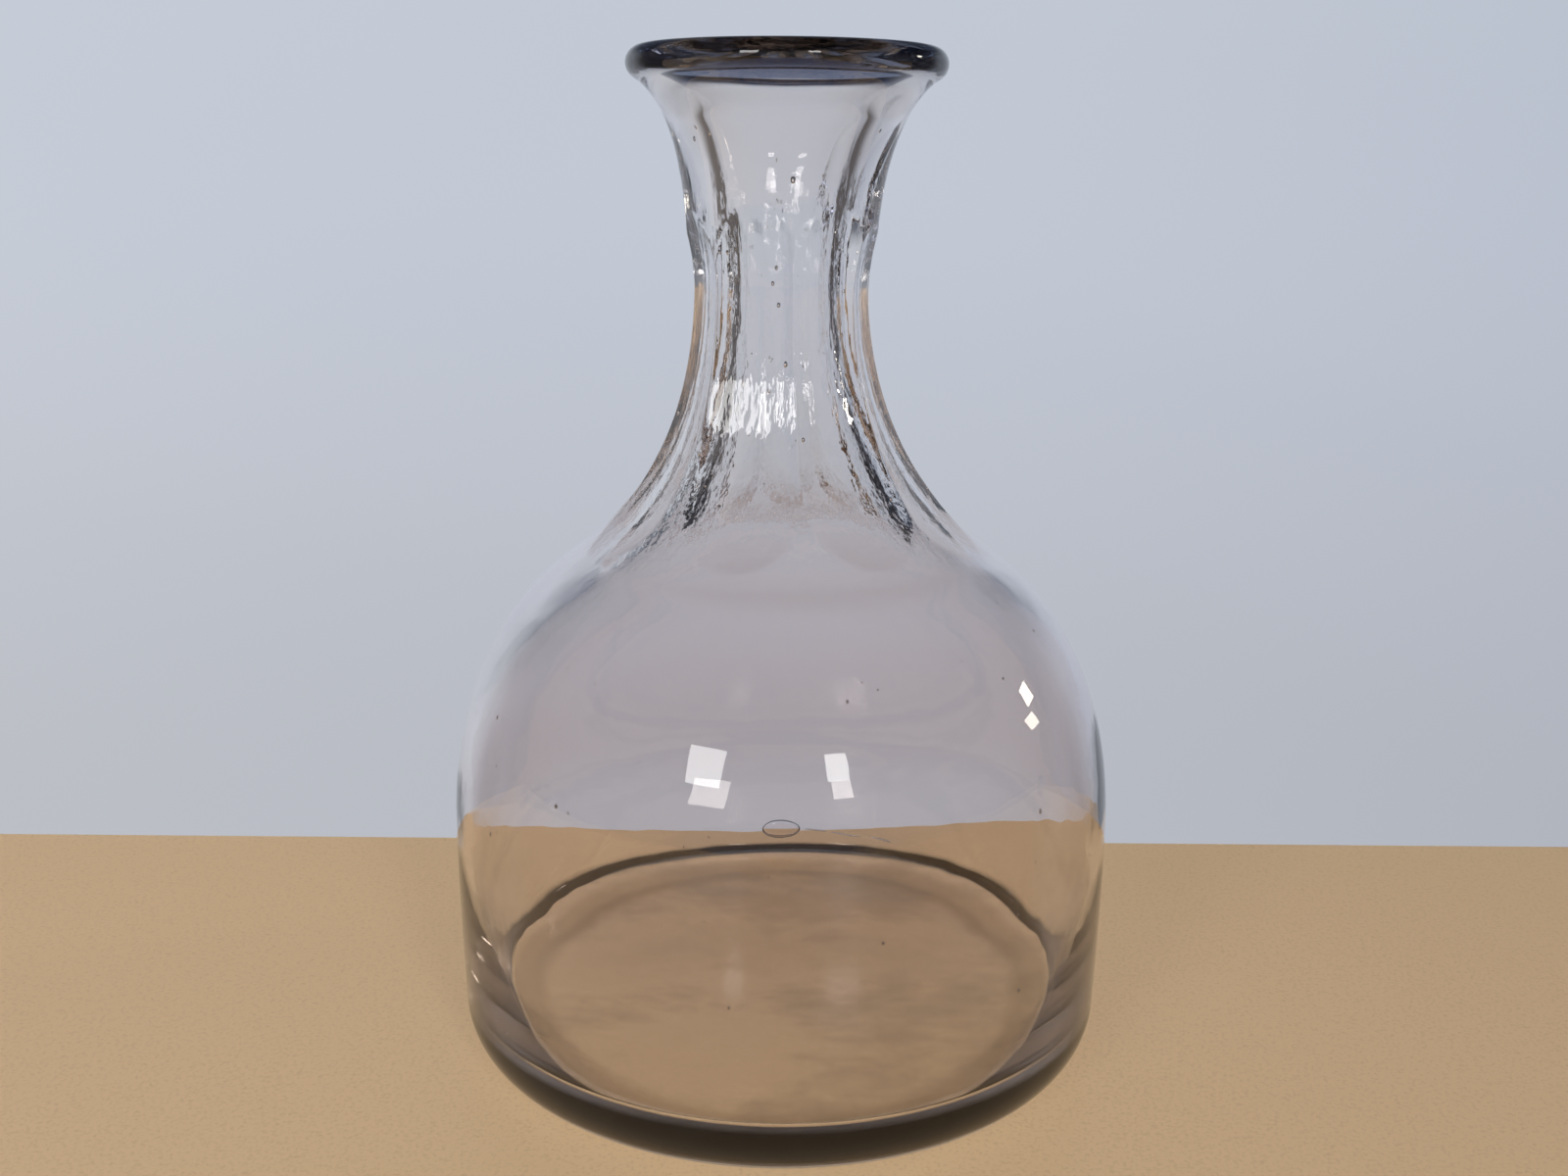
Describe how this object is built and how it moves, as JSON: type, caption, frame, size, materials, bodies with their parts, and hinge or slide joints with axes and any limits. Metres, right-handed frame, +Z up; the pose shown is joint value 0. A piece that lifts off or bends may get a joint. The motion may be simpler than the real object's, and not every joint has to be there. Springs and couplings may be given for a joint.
{
  "type": "glass carafe",
  "caption": "Thick clear glass carafe, bell-shaped body, waisted neck cut with long flutes, flared fire-polished mouth, flat base. Holds and pours a drink.",
  "frame": {"origin": "centre of the flat base, on the surface the vessel stands on", "axes": "+Z up along the vessel's axis; -Y is the side seen in front, +X to its right"},
  "size_m": [0.1336, 0.1336, 0.2],
  "materials": {
    "smoky_glass": "polished clear glass with a faint grey-violet tint"
  },
  "bodies": {
    "root": {"glass_vessel": "smoky_glass"}
  },
  "joints": []
}
